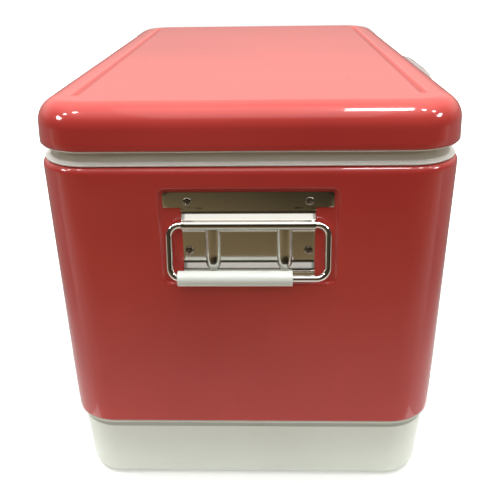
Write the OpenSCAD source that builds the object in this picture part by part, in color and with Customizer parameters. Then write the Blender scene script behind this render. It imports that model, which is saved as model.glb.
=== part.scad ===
// Steel-belted cooler chest: insulated tub, hinged lid, end handles, front latch and drain.
// +X runs along the chest, -Y is the front, +Z is up; the origin is under the middle of the base.

/* [Chest] */
// Length of the lid, end to end
lid_len = 578; // [560:1:600]
// Width of the lid, front to back
lid_wid = 384; // [370:1:400]
// Height of the closed chest
chest_h = 410; // [404:1:418]
// Corner radius of the lid seen from above
corner_r = 51; // [46:1:56]
// Height of the lid's painted side
skirt_h = 39.5; // [39:0.5:41]
// Radius pressed round the lid's top edge
lid_edge_r = 22; // [18:1:24]

/* [Belt and base] */
// How much narrower the belt's top is than the lid, each side
belt_inset = 0.5; // [0.4:0.1:0.8]
// Taper of the belt from top to bottom, each side
belt_taper = 3; // [1:0.5:4]
// Height of the belt's top edge
belt_top = 355; // [354:0.5:355.5]
// Height of the belt's lower edge
belt_bottom = 81; // [78:1:84]
// Radius rolled round the belt's top edge
belt_roll_r = 6; // [5:0.5:7]
// Step from the belt in to the base
base_step = 5; // [4:0.5:6]
// Taper of the base, each side
base_taper = 4.7; // [3:0.1:6]

/* [Tub] */
// Insulated wall thickness of the chest at the rim
wall = 38; // [36:1:40]
// Height of the tub's floor
floor_z = 45; // [44:1:48]

/* [End handle] */
// Width of the bracket's top flange
flange_w = 152; // [148:1:154]
// Width of the bracket's plate
plate_w = 119; // [114:1:120]
// Width of the bail, between wire centres
bail_w = 142; // [140:0.2:143]
// Length of the bail, pivot to grip
bail_len = 49.6; // [49:0.1:50]
// Length of the grip tube
grip_len = 103.5; // [98:0.5:104]
// How far the left grip has slid along the bail
grip_shift = 12.4; // [0:0.1:12.4]

/* [Latch and hinges] */
// Width of the latch pull
pull_w = 196; // [180:1:200]
// Distance of each hinge from the middle
hinge_x = 170; // [150:1:190]

/* [Hidden] */
$fn = 64;

gap = 0.3;
sheet = 1;
stamp = 1.2;
slice = 0.02;
lid_z = chest_h - skirt_h;
lid_draft = 0.7;
belt_len = lid_len - 2 * belt_inset;
belt_wid = lid_wid - 2 * belt_inset;
belt_r = corner_r - belt_inset;

// Tub and rim
liner_t = 2.5;
tub_len = belt_len - 2 * wall;
tub_wid = belt_wid - 2 * wall;
tub_r = 26;
tub_taper = 6;
lip_z = belt_top + 0.4;
lip_t = 2;
lip_inset = 2.6;
rim_inset = 8;
rim_top = lid_z - 2.3;
rim_plate = 3;
gasket_inset = 15;
gasket_w = 8;
gasket_h = 2.1;
gasket_top = lid_z - 1.8;
liner_flange_t = 1.5;
plug_depth = 11;
plug_gap = 4;

// Base tray
base_wall = 3;
base_edge_r = 8;
bead_h = 2.6;
tongue_h = 14;

// End handles, drawn on the +X end
recess_w = 160;
recess_z = [241, 335.6];
recess_depth = 3;
floor_x = belt_len / 2 - recess_depth - 0.5;
wire_r = 3;
bail_u = 6;
bail_z = 302.7;
bail_bend = 10;
grip_out = 9;
bail_lean = asin(grip_out / bail_len);
barrel_r = 4.3;
barrel_bore = wire_r + 0.06;
grip_r = 7;
grip_bore = 3.9;
flange_z = [317.5, 332.1];
neck_z = 312.6;
plate_z = [264.4, 295.2];
foot_out = 4.8;
foot_z = [250.5, 257.8];
rib_y = 32.5;
rib_w = 13;
rib_h = 3;
rib_foot = 259.5;
bracket_screw_y = 54;
bracket_screw_z = [275.3, 323.4];

// Screws
head_r = 4;
head_h = 1.8;
shank_r = 2;
shank_len = 9;
hole_r = shank_r + 0.1;

// Front latch, drawn on +X and turned to the front
belt_face = belt_wid / 2;
lid_face = lid_wid / 2;
latch_pin_r = 2;
latch_bore = latch_pin_r + 0.06;
latch_axis = [belt_face + 6, 330];
knuckle_r = 4;
lever_u = latch_axis[0] + 2.8;
lever_knuckle = 40;
pull_bend = 9.2;
spring_half = 10;

// Hinges, drawn on +X and turned to the back
hinge_w = 60;
hinge_axis = [lid_face + 4.8, 363];
hinge_pin_r = 2;
hinge_bore = hinge_pin_r + 0.06;
hinge_knuckle_r = 4.5;
leaf_t = 1.5;
lid_knuckle = 14.6;
body_knuckle = 15;

// Drain, on the +X end
drain_z = 61;
spout_r = 11;
spout_bore = 7.5;
spout_hole = spout_r + gap;
tub_face = tub_len / 2 - tub_taper;
base_face = belt_len / 2 - belt_taper - base_step;

// Rounded rectangle centred on the origin
module rounded(len, wid, r) {
  square([len - 2 * r, wid], center = true);
  square([len, wid - 2 * r], center = true);
  for (sx = [-1, 1], sy = [-1, 1])
    translate([sx * (len / 2 - r), sy * (wid / 2 - r)]) circle(r);
}

// Upright block with round corners between two heights
module block(len, wid, r, z0, z1) {
  translate([0, 0, z0]) linear_extrude(z1 - z0) rounded(len, wid, r);
}

// Thin layer of a form that tapers or rounds off with height
module layer(len, wid, r, z) {
  translate([0, 0, z]) linear_extrude(slice) rounded(len, wid, r, $fn = 48);
}

// Outside of the lid, taken in by i all round; drop lengthens it downwards
module lid_form(i, drop = 0) {
  hull() {
    layer(lid_len - 2 * i, lid_wid - 2 * i, corner_r - i, lid_z - drop);
    for (a = [0:15:90]) {
      in = i + lid_draft + (lid_edge_r - i) * (1 - cos(a));
      layer(lid_len - 2 * in, lid_wid - 2 * in, corner_r - in,
            chest_h - lid_edge_r + (lid_edge_r - i) * sin(a) - slice);
    }
  }
}

// Outside of the belt, taken in by i all round; drop lengthens it downwards
module belt_form(i, drop = 0) {
  foot = i + belt_taper;
  hull() {
    layer(belt_len - 2 * foot, belt_wid - 2 * foot, belt_r - foot, belt_bottom - drop);
    for (a = [0:15:90]) {
      in = i + (belt_roll_r - i) * (1 - cos(a));
      layer(belt_len - 2 * in, belt_wid - 2 * in, belt_r - in,
            belt_top - belt_roll_r + (belt_roll_r - i) * sin(a) - slice);
    }
  }
}

// Outside of the base tray up to height z, taken in by i
module base_form(i, z) {
  top = i + belt_taper + base_step;
  hull() {
    layer(belt_len - 2 * top, belt_wid - 2 * top, belt_r - top, z);
    for (a = [0:15:90]) {
      in = top + base_taper + (base_edge_r - i) * (1 - cos(a));
      layer(belt_len - 2 * in, belt_wid - 2 * in, belt_r - in,
            base_edge_r - (base_edge_r - i) * sin(a));
    }
  }
}

// Inside of the tub grown by i, from its floor up to the rim
module tub_form(i) {
  hull() {
    layer(tub_len + 2 * i - 2 * tub_taper, tub_wid + 2 * i - 2 * tub_taper, tub_r + i, floor_z - i);
    layer(tub_len + 2 * i, tub_wid + 2 * i, tub_r + i, rim_top + 1);
  }
}

// Level ring between two insets from the belt's outline
module ring(inset_out, inset_in, z0, z1) {
  difference() {
    block(belt_len - 2 * inset_out, belt_wid - 2 * inset_out, belt_r - inset_out, z0, z1);
    block(belt_len - 2 * inset_in, belt_wid - 2 * inset_in, belt_r - inset_in, z0 - 1, z1 + 1);
  }
}

// Bar along Y whose section is drawn in X and Z
module along_y(half) {
  translate([0, half, 0]) rotate([90, 0, 0]) linear_extrude(2 * half) children();
}

// Plate facing +X whose outline is drawn in Y and Z
module facing_x(x0, x1) {
  translate([x0, 0, 0]) rotate([90, 0, 90]) linear_extrude(x1 - x0) children();
}

// Places children on the left end, or on both ends
module on_left() {
  rotate([0, 0, 180]) children();
}

module on_front() {
  rotate([0, 0, -90]) children();
}

module on_back() {
  rotate([0, 0, 90]) children();
}

// Straight bore through everything between two X positions
module bore_x(x0, x1, y, z, r) {
  translate([x0, y, z]) rotate([0, 90, 0]) cylinder(h = x1 - x0, r = r);
}

// Pan-head cross-recess screw whose head stands on the plane x = seat
module screw(seat, y, z, head = head_r) {
  cross = head * 1.1;
  translate([seat, y, z]) rotate([0, 90, 0]) difference() {
    union() {
      translate([0, 0, -shank_len]) cylinder(h = shank_len + head_h / 2, r = shank_r);
      cylinder(h = head_h / 2, r = head);
      translate([0, 0, head_h / 2]) cylinder(h = head_h / 2, r1 = head, r2 = head * 0.72);
    }
    for (turn = [0, 90]) rotate([0, 0, turn])
      translate([-cross / 2, -0.4, head_h * 0.35]) cube([cross, 0.8, head_h]);
  }
}

// Pressed pocket behind an end handle: what is cut away and the pan that lines it
module recess_outline(grow) {
  translate([0, (recess_z[0] + recess_z[1]) / 2])
    rounded(recess_w + 2 * grow, recess_z[1] - recess_z[0] + 2 * grow, 8 + grow);
}

module recess_cut() {
  facing_x(floor_x - sheet - 0.5, belt_len / 2 + 5) recess_outline(0);
}

module recess_pan() {
  difference() {
    intersection() {
      facing_x(floor_x - sheet, belt_len / 2) recess_outline(sheet);
      belt_form(0);
    }
    facing_x(floor_x, belt_len / 2 + 5) recess_outline(0);
  }
}

module bracket_holes() {
  for (y = [-1, 1], z = bracket_screw_z)
    bore_x(floor_x - shank_len - 3, floor_x + 5, y * bracket_screw_y, z, hole_r);
}

// White moulded tray under the belt, with a bead for the belt's edge and a tongue inside it
module base_tray() {
  color("gainsboro") difference() {
    union() {
      base_form(0, belt_bottom - bead_h / 2);
      block(belt_len - 2 * (belt_taper + 1.2), belt_wid - 2 * (belt_taper + 1.2),
            belt_r - belt_taper - 1.2, belt_bottom - bead_h, belt_bottom - 0.1);
      ring(belt_taper + sheet + 0.4, belt_taper + sheet + 0.4 + base_wall,
           belt_bottom - 0.1, belt_bottom + tongue_h);
    }
    translate([0, 0, base_wall]) base_form(base_wall, belt_bottom + tongue_h);
    bore_x(base_face - 30, base_face + 5, 0, drain_z, spout_hole);
  }
}

// Red painted sheet wrapped round the body, with a pressed pocket behind each handle
module steel_belt() {
  color("firebrick") difference() {
    union() {
      difference() {
        belt_form(0);
        belt_form(sheet, 1);
        block(belt_len - 2 * rim_inset, belt_wid - 2 * rim_inset, belt_r - rim_inset,
              belt_top - 5, belt_top + 5);
        recess_cut();
        on_left() recess_cut();
      }
      recess_pan();
      on_left() recess_pan();
    }
    bracket_holes();
    on_left() bracket_holes();
    on_front() latch_bracket_holes();
    on_back() hinge_body_holes();
  }
}

// White tub with its raised rim and the lip that covers the belt's rolled edge
module inner_liner() {
  skirt = rim_inset + liner_t;
  color("whitesmoke") difference() {
    union() {
      intersection() {
        tub_form(liner_t);
        block(belt_len, belt_wid, belt_r, 0, rim_top - rim_plate);
      }
      ring(rim_inset, skirt, lip_z, rim_top);
      ring(lip_inset, skirt, lip_z, lip_z + lip_t);
      block(belt_len - 2 * skirt + 1, belt_wid - 2 * skirt + 1, belt_r - skirt,
            rim_top - rim_plate, rim_top);
    }
    tub_form(0);
    ring(gasket_inset - 0.5, gasket_inset + gasket_w + 0.5, gasket_top - gasket_h - 0.4, rim_top + 1);
    bore_x(tub_face - 10, tub_face + 10, 0, drain_z, spout_hole);
  }
}

// Foamed insulation filling the space between tub, belt and base
module body_foam() {
  color("khaki") difference() {
    union() {
      belt_form(sheet + base_wall + 2 * gap + 0.2, 0);
      translate([0, 0, base_wall + gap]) base_form(base_wall + gap, belt_bottom + tongue_h - gap);
      block(belt_len - 2 * (rim_inset + liner_t + gap), belt_wid - 2 * (rim_inset + liner_t + gap),
            belt_r - rim_inset - liner_t - gap, belt_top - 20, rim_top - rim_plate - gap);
    }
    tub_form(liner_t + gap);
    for (side = [0, 180]) rotate([0, 0, side]) {
      bracket_holes();
      facing_x(floor_x - sheet - gap, belt_len) recess_outline(sheet + gap);
    }
    on_front() latch_bracket_holes();
    on_back() hinge_body_holes();
    bore_x(tub_face - 10, base_face + 5, 0, drain_z, spout_hole);
  }
}

// Drain: threaded spout from inside the tub, sealed and nutted outside, with a screw cap
spout_x = [tub_face - 4, base_face + 17.5];

module drain_spout() {
  color("white") difference() {
    union() {
      bore_x(spout_x[0], spout_x[1], 0, drain_z, spout_r);
      bore_x(spout_x[0], spout_x[0] + 3, 0, drain_z, 15);
    }
    bore_x(spout_x[0] - 1, spout_x[1] + 1, 0, drain_z, spout_bore);
  }
}

module drain_washer() {
  color("dimgray") difference() {
    bore_x(base_face + 0.2, base_face + 2.2, 0, drain_z, 16);
    bore_x(base_face - 1, base_face + 4, 0, drain_z, spout_hole);
  }
}

module drain_nut() {
  color("white") difference() {
    translate([base_face + 2.4, 0, drain_z]) rotate([0, 90, 0]) cylinder(h = 5, r = 17, $fn = 6);
    bore_x(base_face, base_face + 10, 0, drain_z, spout_hole);
  }
}

module drain_cap() {
  start = base_face + 7.8;
  color("white") difference() {
    union() {
      bore_x(start, start + 13, 0, drain_z, 14);
      for (a = [0:30:330]) translate([start, 0, drain_z]) rotate([a, 0, 0])
        translate([0, 13.8, 0]) rotate([0, 90, 0]) cylinder(h = 12.4, r = 1, $fn = 16);
    }
    bore_x(start - 1, start + 10.2, 0, drain_z, spout_r + 0.4);
  }
}

// Stamped end-handle bracket: flange, rolled barrel over the bail, ribbed plate and curled lip
module bracket_section() {
  difference() {
    union() {
      translate([bail_u, bail_z]) circle(barrel_r);
      polygon([[0, neck_z - 0.6], [0, neck_z + 1], [stamp, neck_z + 1], [bail_u, bail_z + barrel_r],
               [bail_u - 2.2, bail_z + 2]]);
      polygon([[0, plate_z[1] - 1], [stamp, plate_z[1] - 2], [bail_u, bail_z - barrel_r],
               [bail_u - 2.2, bail_z - 2], [0, plate_z[1] + 1.5]]);
    }
    translate([bail_u, bail_z]) circle(barrel_bore);
    translate([bail_u - 8, bail_z - 2.6]) square([8 - 0.6, 5.2]);
    translate([bail_u - 8, bail_z - 1.9]) square([8, 3.8]);
  }
  translate([0, plate_z[0]]) square([stamp, plate_z[1] - plate_z[0]]);
  polygon([[0, plate_z[0]], [0, plate_z[0] + 1], [stamp, plate_z[0] + 1], [stamp + foot_out, foot_z[1]],
           [stamp + foot_out, foot_z[0]], [foot_out, foot_z[0]], [foot_out, foot_z[1] - 0.6]]);
}

module bracket() {
  difference() {
    union() {
      translate([floor_x, 0, 0]) along_y(plate_w / 2) bracket_section();
      facing_x(floor_x, floor_x + stamp) {
        translate([0, (flange_z[0] + flange_z[1]) / 2])
          rounded(flange_w, flange_z[1] - flange_z[0], 3);
        translate([-plate_w / 2, neck_z]) square([plate_w, flange_z[1] - neck_z - 3]);
      }
      for (side = [-1, 1]) intersection() {
        rib_r = (rib_w * rib_w / 4 + rib_h * rib_h) / (2 * rib_h);
        translate([floor_x + stamp + rib_h - rib_r, side * rib_y, rib_foot])
          cylinder(h = plate_z[1] - 1 - rib_foot, r = rib_r);
        translate([floor_x + 0.5, side * rib_y - rib_w, 250]) cube([10, 2 * rib_w, 60]);
      }
    }
    bracket_holes();
  }
}

module handle_bracket_right() {
  color("silver") bracket();
}

module handle_bracket_left() {
  color("silver") on_left() bracket();
}

module bracket_screws() {
  for (y = [-1, 1], z = bracket_screw_z)
    screw(floor_x + stamp, y * bracket_screw_y, z);
}

module bracket_screws_right() {
  color("darkgray") bracket_screws();
}

module bracket_screws_left() {
  color("darkgray") on_left() bracket_screws();
}

// Puts what hangs in the bail's own plane on the pivot, leaning out at its foot
module in_bail_plane() {
  translate([floor_x + bail_u, 0, bail_z]) rotate([0, -bail_lean, 0]) children();
}

// Bent wire loop hanging from the barrel
module bail() {
  rod = bail_w / 2 - bail_bend;
  in_bail_plane() {
    for (z = [0, -bail_len]) translate([0, -rod, z]) rotate([-90, 0, 0])
      cylinder(h = 2 * rod, r = wire_r);
    for (y = [-1, 1]) translate([0, y * bail_w / 2, bail_bend - bail_len])
      cylinder(h = bail_len - 2 * bail_bend, r = wire_r);
    for (y = [0, 1], top = [0, 1])
      mirror([0, y, 0]) translate([0, rod, top == 1 ? -bail_bend : bail_bend - bail_len])
        mirror([0, 0, 1 - top]) rotate([90, 0, 90])
          rotate_extrude(angle = 90) translate([bail_bend, 0]) circle(wire_r);
  }
}

module bail_right() {
  color("lightgray") bail();
}

module bail_left() {
  color("lightgray") on_left() bail();
}

module grip(shift) {
  in_bail_plane() translate([0, shift - grip_len / 2, -bail_len]) rotate([-90, 0, 0]) difference() {
    cylinder(h = grip_len, r = grip_r);
    translate([0, 0, -1]) cylinder(h = grip_len + 2, r = grip_bore);
  }
}

module grip_right() {
  color("honeydew") grip(0);
}

module grip_left() {
  color("honeydew") on_left() grip(-grip_shift);
}

// Latch bracket on the belt: flange, plate and two knuckles for the pin
latch_flange_z = [296, 312];
latch_screw_y = [-64, -22, 22, 64];
latch_screw_z = 304;

module latch_bracket_holes() {
  for (y = latch_screw_y)
    bore_x(belt_face - shank_len - 3, belt_face + 5, y, latch_screw_z, hole_r);
}

module latch_bracket() {
  color("silver") on_front() difference() {
    union() {
      facing_x(belt_face + 0.1, belt_face + 0.1 + stamp) {
        translate([0, (latch_flange_z[0] + latch_flange_z[1]) / 2])
          rounded(flange_w, latch_flange_z[1] - latch_flange_z[0], 3);
        translate([-plate_w / 2, latch_flange_z[0] + 3])
          square([plate_w, latch_axis[1] - latch_flange_z[0]]);
      }
      for (side = [-1, 1]) translate([0, side * (lever_knuckle + 0.6 + 9), 0]) along_y(9) {
        translate(latch_axis) circle(knuckle_r);
        polygon([[belt_face + 0.2, latch_axis[1] - 14], [belt_face + 1, latch_axis[1] - 14],
                 [latch_axis[0] + 1, latch_axis[1] - knuckle_r + 0.1],
                 [latch_axis[0] - 3, latch_axis[1] + 2.6], [belt_face + 0.2, latch_axis[1] + 2.6]]);
      }
    }
    translate([latch_axis[0], 100, latch_axis[1]]) rotate([90, 0, 0]) cylinder(h = 200, r = latch_bore);
    latch_bracket_holes();
  }
}

module latch_bracket_screws() {
  color("darkgray") on_front()
    for (y = latch_screw_y) screw(belt_face + 0.1 + stamp, y, latch_screw_z);
}

module latch_pin() {
  color("gray") on_front() translate([latch_axis[0], plate_w / 2 + 1, latch_axis[1]])
    rotate([90, 0, 0]) cylinder(h = plate_w + 2, r = latch_pin_r);
}

// Coiled return spring on the pin, as the tube its turns fill, with one leg on the bracket
module latch_spring() {
  color("dimgray") on_front() difference() {
    union() {
      translate([latch_axis[0], 0, latch_axis[1]]) rotate([90, 0, 0])
        cylinder(h = 2 * spring_half, r = 3.6, center = true);
      translate([belt_face + 1.6, -spring_half, latch_axis[1] - 14]) cube([1, 1, 12]);
      translate([belt_face + 1.6, -spring_half, latch_axis[1] - 3.4]) cube([6, 1, 1]);
    }
    translate([latch_axis[0], 20, latch_axis[1]]) rotate([90, 0, 0]) cylinder(h = 40, r = latch_pin_r + 0.1);
  }
}

// Side section of the latch lever: knuckle, plate, hook that holds the strike, flared pull
module lever_section() {
  pull_z = 384;
  difference() {
    union() {
      translate(latch_axis) circle(knuckle_r);
      translate([lever_u, latch_axis[1]]) square([stamp, pull_z - latch_axis[1]]);
    }
    translate(latch_axis) circle(latch_bore);
  }
  intersection() {
    translate([lever_u + pull_bend, pull_z]) difference() {
      circle(pull_bend);
      circle(pull_bend - stamp);
    }
    translate([lever_u + pull_bend, pull_z]) polygon([[0, 0], [-20, 0], [-20, 20], [-9.3, 20]]);
  }
  translate([lever_u + pull_bend - 3.6, pull_z + 7.9]) circle(1);
}

module lever_outline() {
  head_z = 352;
  arch_r = 960;
  intersection() {
    union() {
      translate([-lever_knuckle, latch_axis[1] - 10]) square([2 * lever_knuckle, 40]);
      translate([0, head_z + 40]) rounded(pull_w, 80, 16);
    }
    translate([0, 393.2 - arch_r]) circle(arch_r, $fn = 200);
  }
}

module latch_lever() {
  color("silver") on_front() difference() {
    union() {
      intersection() {
        along_y(pull_w / 2) lever_section();
        facing_x(belt_face - 5, lever_u + 30) lever_outline();
      }
      translate([lever_u - 5.1, -18, lid_z + 10.4]) cube([5.6, 36, 1.5]);
    }
    translate([latch_axis[0] - 6, -spring_half - 1, latch_axis[1] - 6])
      cube([12, 2 * spring_half + 2, 14]);
  }
}

strike_screw_y = [-23, 23];
strike_screw_z = 380;

// Strike on the lid's front, with the nose that the lever's hook holds down
module latch_strike() {
  nose_top = lid_z + 9.8;
  color("silver") on_front() difference() {
    union() {
      facing_x(lid_face + 0.1, lid_face + 0.1 + stamp)
        translate([0, strike_screw_z + 0.5]) rounded(60, 15, 3);
      along_y(15) polygon([[lid_face + 0.2, nose_top - 6], [lid_face + stamp, nose_top - 6],
                           [lid_face + 6, nose_top - 1.2], [lid_face + 6, nose_top],
                           [lid_face + 0.2, nose_top]]);
    }
    for (y = strike_screw_y) bore_x(lid_face - 5, lid_face + 5, y, strike_screw_z, hole_r);
  }
}

module latch_strike_screws() {
  color("darkgray") on_front()
    for (y = strike_screw_y) screw(lid_face + 0.1 + stamp, y, strike_screw_z, 3.4);
}

// Red painted pressed lid with two long shallow grooves in its top
module lid_groove(y) {
  groove_r = 6;
  groove_half = 245 - groove_r;
  depth = 0.7;
  translate([0, y, chest_h + groove_r - depth]) {
    rotate([0, 90, 0]) cylinder(h = 2 * groove_half, r = groove_r, center = true);
    for (x = [-1, 1]) translate([x * groove_half, 0, 0]) sphere(groove_r);
  }
}

module lid_screw_holes() {
  on_front() for (y = strike_screw_y)
    bore_x(lid_face - shank_len - 3, lid_face + 5, y, strike_screw_z, hole_r);
  on_back() for (x = [-1, 1]) translate([0, x * hinge_x, 0]) hinge_lid_holes();
}

module lid_skin() {
  color("firebrick") difference() {
    lid_form(0);
    lid_form(sheet + 0.2, 2);
    for (y = [-1, 1]) lid_groove(y * (lid_wid / 2 - 36));
    lid_screw_holes();
  }
}

module lid_foam() {
  in = wall + plug_gap + liner_t + gap;
  color("khaki") difference() {
    union() {
      lid_form(sheet + 0.2 + gap);
      block(belt_len - 2 * in, belt_wid - 2 * in, tub_r - plug_gap - liner_t,
            gasket_top - plug_depth + liner_t + gap, lid_z + 1);
    }
    lid_screw_holes();
  }
}

// White inner pan of the lid: flange under the painted skirt and a plug down into the tub
module lid_liner() {
  in = wall + plug_gap;
  in_r = tub_r - plug_gap;
  pocket = in + liner_t;
  color("white") difference() {
    union() {
      block(lid_len - 2.4, lid_wid - 2.4, corner_r - 1.2, gasket_top, gasket_top + liner_flange_t);
      block(belt_len - 2 * in, belt_wid - 2 * in, in_r, gasket_top - plug_depth, gasket_top + 1);
    }
    block(belt_len - 2 * pocket, belt_wid - 2 * pocket, in_r - liner_t,
          gasket_top - plug_depth + liner_t, gasket_top + 5);
  }
}

module lid_gasket() {
  color("gray") ring(gasket_inset, gasket_inset + gasket_w, gasket_top - gasket_h, gasket_top);
}

// Hinges: two leaves each, rolled round a pin just behind the chest
hinge_body_screws_yz = [[-20, 340], [20, 340], [0, 329]];
hinge_lid_screws_yz = [[-20, 381], [20, 381]];

module hinge_body_holes() {
  for (x = [-1, 1], p = hinge_body_screws_yz)
    bore_x(belt_face - shank_len - 3, belt_face + 5, x * hinge_x + p[0], p[1], hole_r);
}

module hinge_lid_holes() {
  for (p = hinge_lid_screws_yz)
    bore_x(lid_face - shank_len - 3, lid_face + 5, p[0], p[1], hole_r);
}

module hinge_cut() {
  translate([hinge_axis[0], hinge_w, hinge_axis[1]]) rotate([90, 0, 0])
    cylinder(h = 2 * hinge_w, r = hinge_bore);
}

module hinge_body_leaf() {
  face = belt_face + 0.1;
  root = hinge_axis[0] - hinge_knuckle_r;
  color("silver") difference() {
    along_y(hinge_w / 2) {
      polygon([[face, 321], [face + leaf_t, 321], [face + leaf_t, 348], [root + leaf_t, 351],
               [root + leaf_t, hinge_axis[1]], [root, hinge_axis[1]], [root, 351], [face, 348]]);
      translate(hinge_axis) circle(hinge_knuckle_r);
    }
    translate([face - 1, -body_knuckle, 354]) cube([20, 2 * body_knuckle, 30]);
    hinge_cut();
    for (p = hinge_body_screws_yz) bore_x(face - 5, face + 5, p[0], p[1], hole_r);
  }
}

module hinge_lid_leaf() {
  root = hinge_axis[0] - hinge_knuckle_r;
  color("silver") difference() {
    along_y(hinge_w / 2) {
      translate([root, hinge_axis[1]]) square([leaf_t, 388 - hinge_axis[1]]);
      translate(hinge_axis) circle(hinge_knuckle_r);
    }
    for (side = [-1, 1]) translate([root - 1, side > 0 ? lid_knuckle : -lid_knuckle - 40, 340])
      cube([20, 40, 34]);
    hinge_cut();
    hinge_lid_holes();
  }
}

module hinge_pin() {
  color("gray") translate([hinge_axis[0], hinge_w / 2, hinge_axis[1]])
    rotate([90, 0, 0]) cylinder(h = hinge_w, r = hinge_pin_r);
}

// Left and right are seen from the front, so the left hinge is turned to +Y of the drawing frame
module at_hinge(side) {
  on_back() translate([0, -side * hinge_x, 0]) children();
}

module hinge_body_screws() {
  color("darkgray") for (side = [-1, 1]) at_hinge(side)
    for (p = hinge_body_screws_yz) screw(belt_face + 0.1 + leaf_t, p[0], p[1], 3.6);
}

module hinge_lid_screws() {
  color("darkgray") for (side = [-1, 1]) at_hinge(side)
    for (p = hinge_lid_screws_yz) screw(lid_face + gap + leaf_t, p[0], p[1], 3.6);
}

base_tray();
steel_belt();
inner_liner();
body_foam();
drain_spout();
drain_washer();
drain_nut();
drain_cap();
handle_bracket_left();
handle_bracket_right();
bracket_screws_left();
bracket_screws_right();
bail_left();
bail_right();
grip_left();
grip_right();
latch_bracket();
latch_bracket_screws();
latch_pin();
latch_spring();
latch_lever();
latch_strike();
latch_strike_screws();
lid_skin();
lid_foam();
lid_liner();
lid_gasket();
at_hinge(-1) hinge_body_leaf();  // hinge_body_leaf_left
at_hinge(1) hinge_body_leaf();  // hinge_body_leaf_right
at_hinge(-1) hinge_lid_leaf();  // hinge_lid_leaf_left
at_hinge(1) hinge_lid_leaf();  // hinge_lid_leaf_right
at_hinge(-1) hinge_pin();  // hinge_pin_left
at_hinge(1) hinge_pin();  // hinge_pin_right
hinge_body_screws();
hinge_lid_screws();
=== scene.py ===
import math
import bpy
import numpy as np
from mathutils import Matrix, Vector


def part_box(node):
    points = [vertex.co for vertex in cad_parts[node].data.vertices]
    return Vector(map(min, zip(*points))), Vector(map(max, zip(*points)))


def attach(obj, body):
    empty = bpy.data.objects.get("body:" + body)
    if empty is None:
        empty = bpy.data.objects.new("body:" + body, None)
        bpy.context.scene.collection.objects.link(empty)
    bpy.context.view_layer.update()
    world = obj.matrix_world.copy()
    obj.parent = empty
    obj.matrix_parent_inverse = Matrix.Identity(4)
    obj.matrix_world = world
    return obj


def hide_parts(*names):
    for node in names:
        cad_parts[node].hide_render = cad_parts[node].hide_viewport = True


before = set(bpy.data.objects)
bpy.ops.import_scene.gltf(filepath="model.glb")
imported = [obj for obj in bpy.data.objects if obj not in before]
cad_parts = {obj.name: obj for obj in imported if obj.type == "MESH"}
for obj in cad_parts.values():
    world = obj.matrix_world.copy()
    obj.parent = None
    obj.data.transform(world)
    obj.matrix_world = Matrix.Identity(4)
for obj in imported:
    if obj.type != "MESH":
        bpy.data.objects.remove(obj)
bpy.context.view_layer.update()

# ---------------------------------------------------------------- room and camera
# A pale floor under a wide soft ceiling, with a dimmer wall behind the viewer, so that the
# polished metal has something dark to show. The camera looks at the left end from above.
MM = 0.001


def new_object(name, data):
    obj = bpy.data.objects.new(name, data)
    bpy.context.scene.collection.objects.link(obj)
    return obj


def aimed(location, forward, roll=0.0):
    """World matrix at a place, looking along forward, turned by roll about the line of sight."""
    forward = Vector(forward).normalized()
    right = forward.cross(Vector((0, 0, 1))).normalized()
    up = right.cross(forward)
    turned_right = math.cos(roll) * right + math.sin(roll) * up
    turned_up = math.cos(roll) * up - math.sin(roll) * right
    turn = Matrix((turned_right, turned_up, -forward)).transposed()
    return Matrix.Translation(Vector(location)) @ turn.to_4x4()


eye = (-0.8013, -0.0166, 0.5310)
yaw = 0.029
pitch = 0.381
camera_data = bpy.data.cameras.new("camera")
camera_data.sensor_width = 36
camera_data.lens = 45.49
camera_data.shift_y = -0.10
camera_data.clip_start = 0.01
camera = new_object("camera", camera_data)
sight = (math.cos(yaw) * math.cos(pitch), math.sin(yaw) * math.cos(pitch), -math.sin(pitch))
camera.matrix_world = aimed(eye, sight, roll=-0.015)
bpy.context.scene.camera = camera


def area_light(name, location, target, size, power):
    data = bpy.data.lights.new(name, "AREA")
    data.shape = "RECTANGLE"
    data.size, data.size_y = size
    data.energy = power
    light = new_object(name, data)
    light.matrix_world = aimed(location, Vector(target) - Vector(location) + Vector((1e-4, 0, 0)))
    return light


# The ceiling and the window light the paint but don't show in the polished metal. The lamps do the
# opposite: they only put bright spots on the rounded edges.
ceiling = area_light("ceiling", (0.75, 0.0, 2.4), (0.75, 0, 0), (3.4, 3.0), 125)
ceiling.visible_glossy = False
area_light("ceiling_near", (-1.3, 0.0, 2.4), (-1.3, 0, 0), (1.2, 2.6), 8)
window = area_light("window_behind", (-2.4, 0.1, 1.9), (0, 0, 0.35), (2.4, 0.8), 13)
window.visible_glossy = False
lamps = [area_light("lamp_row", (-0.7, -0.46, 2.2), (-0.29, -0.46, 0.4), (0.30, 0.45), 12)]
for side in (-1, 1):
    for y, z, power in ((1.0, 2.2, 6.0), (1.6, 2.0, 5.0), (2.0, 1.5, 6.0), (1.4, 1.1, 4.0)):
        lamps.append(area_light("lamp", (-0.75, side * y, z), (-0.28, side * 0.15, 0.4),
                                (0.24, 0.24), power))
for lamp in lamps:
    lamp.visible_diffuse = False


class Nodes:
    """Adds nodes to one tree. add takes a type, its settings, then values or links for sockets."""

    def __init__(self, tree):
        self.tree = tree

    def add(self, kind, settings=None, out=0, **inputs):
        node = self.tree.nodes.new(kind)
        for key, value in (settings or {}).items():
            setattr(node, key, value)
        for key, value in inputs.items():
            self.feed(node.inputs[int(key[1:]) if key[1:].isdigit() else key.replace("_", " ")], value)
        return Sock(self, node.outputs[out]) if node.outputs else None

    def feed(self, socket, value):
        if isinstance(value, Sock):
            self.tree.links.new(value.socket, socket)
        else:
            socket.default_value = value


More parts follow.
